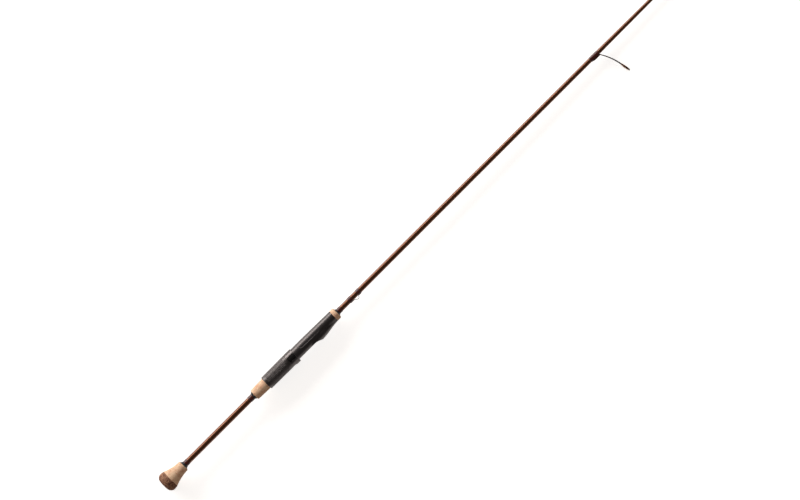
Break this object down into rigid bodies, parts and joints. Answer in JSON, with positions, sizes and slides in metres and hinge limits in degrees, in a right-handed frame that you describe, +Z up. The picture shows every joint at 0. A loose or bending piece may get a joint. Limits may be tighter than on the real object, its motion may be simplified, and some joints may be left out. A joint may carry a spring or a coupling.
{
  "type": "ice fishing rod",
  "caption": "One-piece spinning rod for ice fishing with a cork butt knob, split grip, screw-locking reel seat, hook keeper, single-foot line guides and a tip ring.",
  "frame": {"origin": "centre of the butt face, on the rod's axis", "axes": "+X along the rod from the butt to the tip, line guides and reel foot bed towards -Y, +Z up with the rod lying on its side"},
  "size_m": [1.219, 0.0616, 0.0282],
  "materials": {
    "blank_finish": "clear gloss over a dark brown fibre blank",
    "cork": "sanded natural cork",
    "composite_cork": "sanded burl cork composite",
    "thread_wrap": "maroon thread under gloss epoxy",
    "check_rubber": "satin black",
    "seat_plastic": "satin charcoal moulding",
    "nut_plastic": "satin charcoal moulding with fine grooves",
    "hood_metal": "grey anodised",
    "liner_plastic": "black moulding",
    "arbor_foam": "rigid foam",
    "guide_metal": "gunmetal plated",
    "ring_insert": "polished bronze-coloured ring",
    "keeper_wire": "bright wire"
  },
  "bodies": {
    "rod": {"blank": "blank_finish", "butt_cap": "composite_cork", "knob_cork_rear": "cork", "knob_cork_front": "cork", "knob_check": "check_rubber", "knob_wrap": "thread_wrap", "rear_wrap": "thread_wrap", "rear_check": "check_rubber", "rear_cork_rear": "cork", "rear_cork_front": "cork", "seat_body": "seat_plastic", "arbor_rear": "arbor_foam", "arbor_middle": "arbor_foam", "arbor_front": "arbor_foam", "fore_cork_ring": "cork", "fore_check": "check_rubber", "fore_wrap": "thread_wrap", "hook_keeper": "keeper_wire", "keeper_wrap_rear": "thread_wrap", "keeper_wrap_front": "thread_wrap", "guide_1_frame": "guide_metal", "guide_1_ring": "ring_insert", "guide_1_wrap": "thread_wrap", "guide_2_frame": "guide_metal", "guide_2_ring": "ring_insert", "guide_2_wrap": "thread_wrap", "guide_3_frame": "guide_metal", "guide_3_ring": "ring_insert", "guide_3_wrap": "thread_wrap", "guide_4_frame": "guide_metal", "guide_4_ring": "ring_insert", "guide_4_wrap": "thread_wrap", "guide_5_frame": "guide_metal", "guide_5_ring": "ring_insert", "guide_5_wrap": "thread_wrap", "tip_top_frame": "guide_metal", "tip_top_ring": "ring_insert", "tip_wrap": "thread_wrap"},
    "hood": {"sliding_hood": "hood_metal", "hood_liner": "liner_plastic"},
    "nut": {"lock_nut": "nut_plastic"}
  },
  "joints": [
    {"name": "hood_slide", "type": "slide", "parent": "rod", "child": "hood", "axis": [1, 0, 0], "range_m": [0, 0.012]},
    {"name": "nut_turn", "type": "hinge", "parent": "hood", "child": "nut", "pos_m": [0.21655, 0, 0], "axis": [1, 0, 0], "range_deg": [0, 2880]}
  ],
  "couplings": [
    {"joint": "hood_slide", "follows": "nut_turn", "m_per_rad": 0.00023873}
  ]
}
